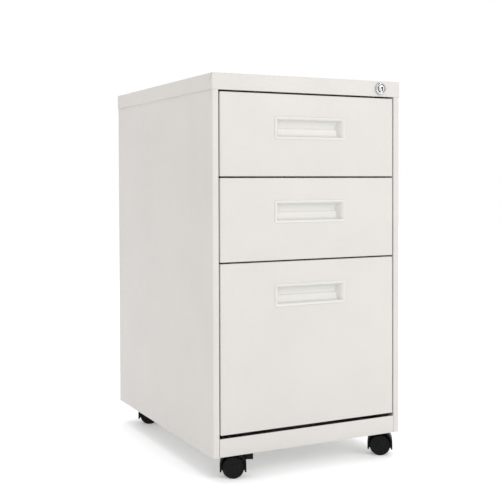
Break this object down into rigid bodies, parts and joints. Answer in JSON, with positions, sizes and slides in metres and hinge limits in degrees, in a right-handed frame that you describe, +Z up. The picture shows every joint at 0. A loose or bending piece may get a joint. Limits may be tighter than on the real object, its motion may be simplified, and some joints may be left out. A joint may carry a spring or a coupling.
{
  "type": "mobile pedestal file cabinet",
  "caption": "Compact steel drawer pedestal on swivel casters, with box drawers over a file drawer, recessed pulls and a gang lock in the top rail.",
  "frame": {"origin": "on the floor, midway between the side panels and midway between the lock's nose and the cap's rear rim", "axes": "+Z up; the drawers open towards -Y; +X is to the right of someone who faces the drawers"},
  "size_m": [0.3836, 0.488, 0.692],
  "materials": {
    "cabinet_paint": "fine-textured off-white powder coat, semi-matt",
    "zinc_steel": "bright zinc-plated sheet and rod",
    "lock_chrome": "polished nickel-chrome plate",
    "pull_plastic": "moulded plastic in the case colour, fine grain",
    "caster_nylon": "black glass-filled nylon, satin",
    "wheel_tread": "black hard rubber tread"
  },
  "bodies": {
    "root": {"side_panel_left": "cabinet_paint", "side_panel_right": "cabinet_paint", "back_panel": "cabinet_paint", "top_cap": "cabinet_paint", "bottom_pan": "cabinet_paint", "bottom_rail": "cabinet_paint", "uprights_left": "zinc_steel", "uprights_right": "zinc_steel", "counterweight": "zinc_steel", "slide_outer_top": "zinc_steel", "slide_outer_middle": "zinc_steel", "slide_outer_file": "zinc_steel", "lock_housing": "lock_chrome", "lock_clip": "zinc_steel", "lock_bar_guides": "zinc_steel", "caster_stems": "zinc_steel", "caster_nuts": "zinc_steel"},
    "drawer_top": {"drawer_front_top": "cabinet_paint", "drawer_body_top": "cabinet_paint", "drawer_back_top": "cabinet_paint", "drawer_pull_top": "pull_plastic", "drawer_catch_top": "zinc_steel", "slide_inner_top": "zinc_steel"},
    "slide_mid_top": {"slide_mid_top": "zinc_steel"},
    "drawer_middle": {"drawer_front_middle": "cabinet_paint", "drawer_body_middle": "cabinet_paint", "drawer_back_middle": "cabinet_paint", "drawer_pull_middle": "pull_plastic", "drawer_catch_middle": "zinc_steel", "slide_inner_middle": "zinc_steel"},
    "slide_mid_middle": {"slide_mid_middle": "zinc_steel"},
    "drawer_file": {"drawer_front_file": "cabinet_paint", "drawer_body_file": "cabinet_paint", "drawer_back_file": "cabinet_paint", "drawer_pull_file": "pull_plastic", "drawer_catch_file": "zinc_steel", "slide_inner_file": "zinc_steel", "hang_rails": "zinc_steel"},
    "slide_mid_file": {"slide_mid_file": "zinc_steel"},
    "lock_plug": {"lock_plug": "lock_chrome", "lock_cam": "zinc_steel"},
    "lock_bar": {"lock_bar": "zinc_steel"},
    "caster_front_left": {"caster_hood_front_left": "caster_nylon", "caster_axle_front_left": "zinc_steel"},
    "wheel_near_front_left": {"caster_wheel_near_front_left": "wheel_tread"},
    "wheel_far_front_left": {"caster_wheel_far_front_left": "wheel_tread"},
    "brake_pedal_front_left": {"brake_pedal_front_left": "caster_nylon"},
    "caster_front_right": {"caster_hood_front_right": "caster_nylon", "caster_axle_front_right": "zinc_steel"},
    "wheel_near_front_right": {"caster_wheel_near_front_right": "wheel_tread"},
    "wheel_far_front_right": {"caster_wheel_far_front_right": "wheel_tread"},
    "caster_rear_left": {"caster_hood_rear_left": "caster_nylon", "caster_axle_rear_left": "zinc_steel"},
    "wheel_near_rear_left": {"caster_wheel_near_rear_left": "wheel_tread"},
    "wheel_far_rear_left": {"caster_wheel_far_rear_left": "wheel_tread"},
    "brake_pedal_rear_left": {"brake_pedal_rear_left": "caster_nylon"},
    "caster_rear_right": {"caster_hood_rear_right": "caster_nylon", "caster_axle_rear_right": "zinc_steel"},
    "wheel_near_rear_right": {"caster_wheel_near_rear_right": "wheel_tread"},
    "wheel_far_rear_right": {"caster_wheel_far_rear_right": "wheel_tread"}
  },
  "joints": [
    {"name": "drawer_top_slide", "type": "slide", "parent": "root", "child": "drawer_top", "axis": [0, -1, 0], "range_m": [0, 0.4]},
    {"name": "slide_mid_top_run", "type": "slide", "parent": "root", "child": "slide_mid_top", "axis": [0, -1, 0], "range_m": [0, 0.2]},
    {"name": "drawer_middle_slide", "type": "slide", "parent": "root", "child": "drawer_middle", "axis": [0, -1, 0], "range_m": [0, 0.4]},
    {"name": "slide_mid_middle_run", "type": "slide", "parent": "root", "child": "slide_mid_middle", "axis": [0, -1, 0], "range_m": [0, 0.2]},
    {"name": "drawer_file_slide", "type": "slide", "parent": "root", "child": "drawer_file", "axis": [0, -1, 0], "range_m": [0, 0.4]},
    {"name": "slide_mid_file_run", "type": "slide", "parent": "root", "child": "slide_mid_file", "axis": [0, -1, 0], "range_m": [0, 0.2]},
    {"name": "lock_plug_turn", "type": "hinge", "parent": "root", "child": "lock_plug", "pos_m": [0.147, -0.237, 0.678], "axis": [0, 1, 0], "range_deg": [0, 90]},
    {"name": "lock_bar_run", "type": "slide", "parent": "root", "child": "lock_bar", "axis": [0, 0, 1], "range_m": [-0.0116, 0]},
    {"name": "swivel_front_left", "type": "hinge", "parent": "root", "child": "caster_front_left", "pos_m": [-0.1525, -0.2015, 0.045], "axis": [0, 0, 1], "continuous": true},
    {"name": "roll_near_front_left", "type": "hinge", "parent": "caster_front_left", "child": "wheel_near_front_left", "pos_m": [-0.13857, -0.2083, 0.019], "axis": [0.4384, 0.8988, 0], "continuous": true},
    {"name": "roll_far_front_left", "type": "hinge", "parent": "caster_front_left", "child": "wheel_far_front_left", "pos_m": [-0.13857, -0.2083, 0.019], "axis": [0.4384, 0.8988, 0], "continuous": true},
    {"name": "pedal_front_left", "type": "hinge", "parent": "caster_front_left", "child": "brake_pedal_front_left", "pos_m": [-0.12733, -0.21377, 0.038], "axis": [0.4384, 0.8988, 0], "range_deg": [0, 12]},
    {"name": "swivel_front_right", "type": "hinge", "parent": "root", "child": "caster_front_right", "pos_m": [0.1525, -0.2015, 0.045], "axis": [0, 0, 1], "continuous": true},
    {"name": "roll_near_front_right", "type": "hinge", "parent": "caster_front_right", "child": "wheel_near_front_right", "pos_m": [0.16527, -0.21028, 0.019], "axis": [0.5664, 0.8241, 0], "continuous": true},
    {"name": "roll_far_front_right", "type": "hinge", "parent": "caster_front_right", "child": "wheel_far_front_right", "pos_m": [0.16527, -0.21028, 0.019], "axis": [0.5664, 0.8241, 0], "continuous": true},
    {"name": "swivel_rear_left", "type": "hinge", "parent": "root", "child": "caster_rear_left", "pos_m": [-0.1525, 0.2075, 0.045], "axis": [0, 0, 1], "continuous": true},
    {"name": "roll_near_rear_left", "type": "hinge", "parent": "caster_rear_left", "child": "wheel_near_rear_left", "pos_m": [-0.13798, 0.20207, 0.019], "axis": [0.3502, 0.9367, 0], "continuous": true},
    {"name": "roll_far_rear_left", "type": "hinge", "parent": "caster_rear_left", "child": "wheel_far_rear_left", "pos_m": [-0.13798, 0.20207, 0.019], "axis": [0.3502, 0.9367, 0], "continuous": true},
    {"name": "pedal_rear_left", "type": "hinge", "parent": "caster_rear_left", "child": "brake_pedal_rear_left", "pos_m": [-0.12627, 0.19769, 0.038], "axis": [0.3502, 0.9367, 0], "range_deg": [0, 12]},
    {"name": "swivel_rear_right", "type": "hinge", "parent": "root", "child": "caster_rear_right", "pos_m": [0.1525, 0.2075, 0.045], "axis": [0, 0, 1], "continuous": true},
    {"name": "roll_near_rear_right", "type": "hinge", "parent": "caster_rear_right", "child": "wheel_near_rear_right", "pos_m": [0.16625, 0.20034, 0.019], "axis": [0.4617, 0.887, 0], "continuous": true},
    {"name": "roll_far_rear_right", "type": "hinge", "parent": "caster_rear_right", "child": "wheel_far_rear_right", "pos_m": [0.16625, 0.20034, 0.019], "axis": [0.4617, 0.887, 0], "continuous": true}
  ],
  "couplings": [
    {"joint": "slide_mid_top_run", "follows": "drawer_top_slide", "ratio": 0.5},
    {"joint": "slide_mid_middle_run", "follows": "drawer_middle_slide", "ratio": 0.5},
    {"joint": "slide_mid_file_run", "follows": "drawer_file_slide", "ratio": 0.5},
    {"joint": "lock_bar_run", "follows": "lock_plug_turn", "m_per_rad": -0.0072025}
  ]
}
